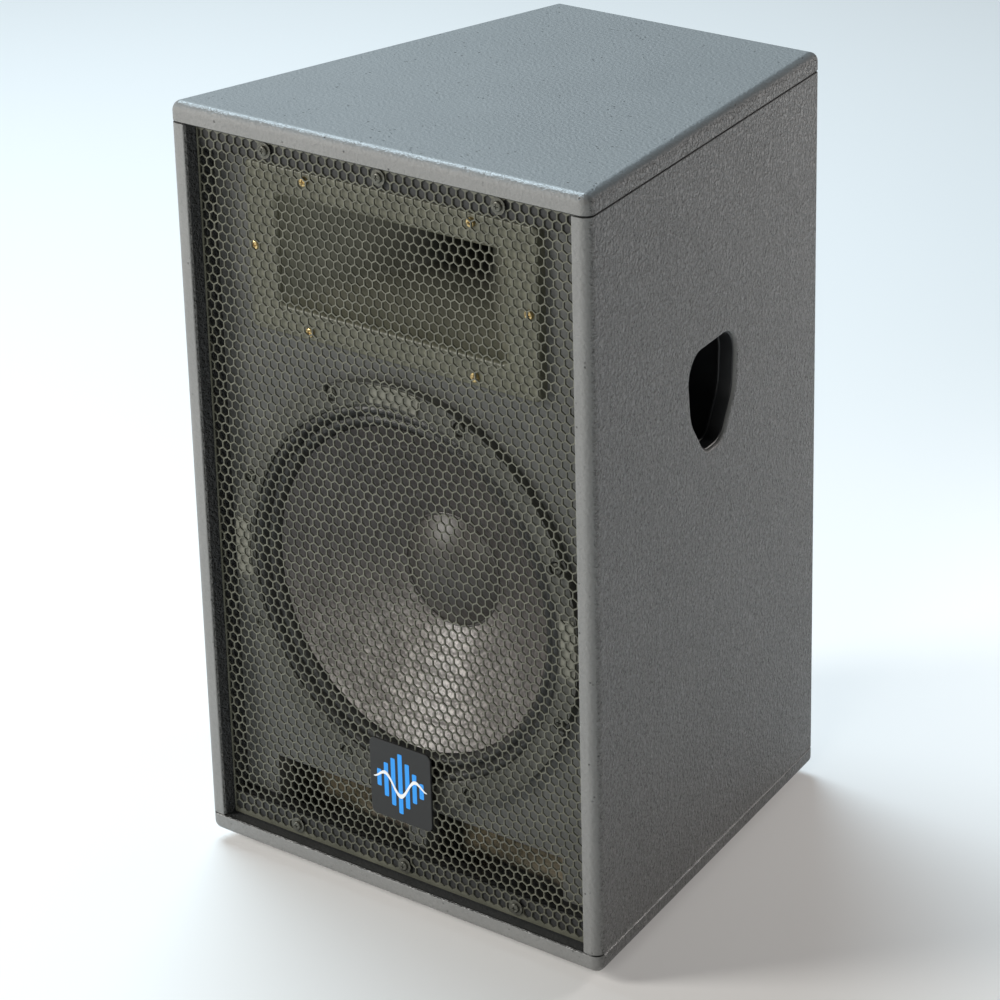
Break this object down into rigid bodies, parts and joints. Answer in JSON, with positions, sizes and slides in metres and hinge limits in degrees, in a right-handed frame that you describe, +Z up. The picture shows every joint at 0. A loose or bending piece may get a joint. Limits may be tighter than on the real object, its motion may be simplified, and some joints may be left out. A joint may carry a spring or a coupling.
{
  "type": "pa speaker cabinet",
  "caption": "Trapezoid two-way loudspeaker cabinet with a large woofer, horn, slot ports, hexagon-hole steel grille and side handle recesses.",
  "frame": {"origin": "on the floor under the middle of the cabinet's box, at the underside of the rubber feet", "axes": "+Z up; the grille faces -Y; +X is to the right for someone who stands in front of the grille and looks at it, along +Y"},
  "size_m": [0.4522, 0.436, 0.71],
  "materials": {
    "textured_paint": "grey structured paint, orange-peel texture, satin",
    "baffle_paint": "thin matt dark grey paint on plywood",
    "raw_wood": "bare birch plywood",
    "grille_steel": "perforated sheet, dark olive-grey powder coat",
    "black_screw": "black oxide, semi-gloss",
    "badge_face": "satin dark grey plate with a plain geometric motif",
    "cup_plastic": "moulded black plastic, fine grain",
    "rubber_foot": "black rubber, matt",
    "zinc_steel": "zinc-plated steel",
    "socket_plastic": "moulded plastic, satin",
    "basket_paint": "dark stoved paint on pressed steel",
    "gasket_foam": "pressed fibre gasket, matt",
    "surround_cloth": "treated cloth, tacky semi-gloss doping",
    "cone_paper": "pressed paper pulp with fine ribs, matt",
    "cap_paper": "pressed paper, matt",
    "copper_coil": "enamelled copper wire",
    "spider_cloth": "resin-treated woven cloth",
    "ferrite": "sintered ferrite, matt",
    "horn_plastic": "moulded dark grey plastic, satin",
    "diaphragm_foil": "thin titanium-coloured foil",
    "circuit_board": "glass-fibre board, green lacquer",
    "capacitor_film": "yellow film wrap",
    "ceramic": "white cement resistor body",
    "lead_black": "soft insulation, black",
    "lead_red": "soft insulation, red",
    "lead_green": "soft insulation, green"
  },
  "bodies": {
    "cabinet": {"top_panel": "textured_paint", "bottom_panel": "textured_paint", "left_side_panel": "textured_paint", "right_side_panel": "textured_paint", "back_panel": "textured_paint", "front_baffle": "baffle_paint", "upper_grille_batten": "baffle_paint", "lower_grille_batten": "baffle_paint", "port_shelf": "raw_wood", "port_divider": "raw_wood", "port_side_walls": "raw_wood", "cross_brace": "raw_wood", "grille": "grille_steel", "grille_screws": "black_screw", "badge": "badge_face", "left_handle_cup": "cup_plastic", "right_handle_cup": "cup_plastic", "handle_screws": "black_screw", "rubber_feet": "rubber_foot", "foot_screws": "zinc_steel", "pole_socket": "cup_plastic", "pole_socket_screws": "zinc_steel", "connector_dish": "cup_plastic", "dish_screws": "zinc_steel", "input_socket": "socket_plastic", "link_socket": "socket_plastic", "socket_screws": "zinc_steel", "woofer_basket": "basket_paint", "woofer_gasket": "gasket_foam", "woofer_surround": "surround_cloth", "woofer_spider": "spider_cloth", "woofer_top_plate": "zinc_steel", "woofer_magnet": "ferrite", "woofer_yoke": "zinc_steel", "woofer_terminals": "horn_plastic", "woofer_screws": "black_screw", "horn": "horn_plastic", "horn_screws": "zinc_steel", "hf_yoke": "zinc_steel", "hf_magnet": "ferrite", "hf_top_plate": "zinc_steel", "hf_phase_plug": "horn_plastic", "hf_rear_cover": "horn_plastic", "hf_terminals": "zinc_steel", "hf_cover_screws": "zinc_steel", "hf_mount_bolts": "zinc_steel", "crossover_board": "circuit_board", "crossover_standoffs": "zinc_steel", "crossover_coils": "copper_coil", "crossover_capacitors": "capacitor_film", "crossover_resistors": "ceramic", "input_lead": "lead_black", "woofer_lead": "lead_red", "horn_lead": "lead_green"},
    "woofer_cone_assembly": {"woofer_cone": "cone_paper", "woofer_dust_cap": "cap_paper", "woofer_voice_coil": "copper_coil"},
    "hf_diaphragm_assembly": {"hf_diaphragm": "diaphragm_foil"}
  },
  "joints": [
    {"name": "cone_slide", "type": "slide", "parent": "cabinet", "child": "woofer_cone_assembly", "axis": [0, -1, 0], "range_m": [-0.006, 0.006], "stiffness_N_per_m": 2500, "deforming": ["woofer_surround", "woofer_spider"]},
    {"name": "diaphragm_slide", "type": "slide", "parent": "cabinet", "child": "hf_diaphragm_assembly", "axis": [0, -1, 0], "range_m": [-0.0004, 0.0004], "stiffness_N_per_m": 2000}
  ]
}
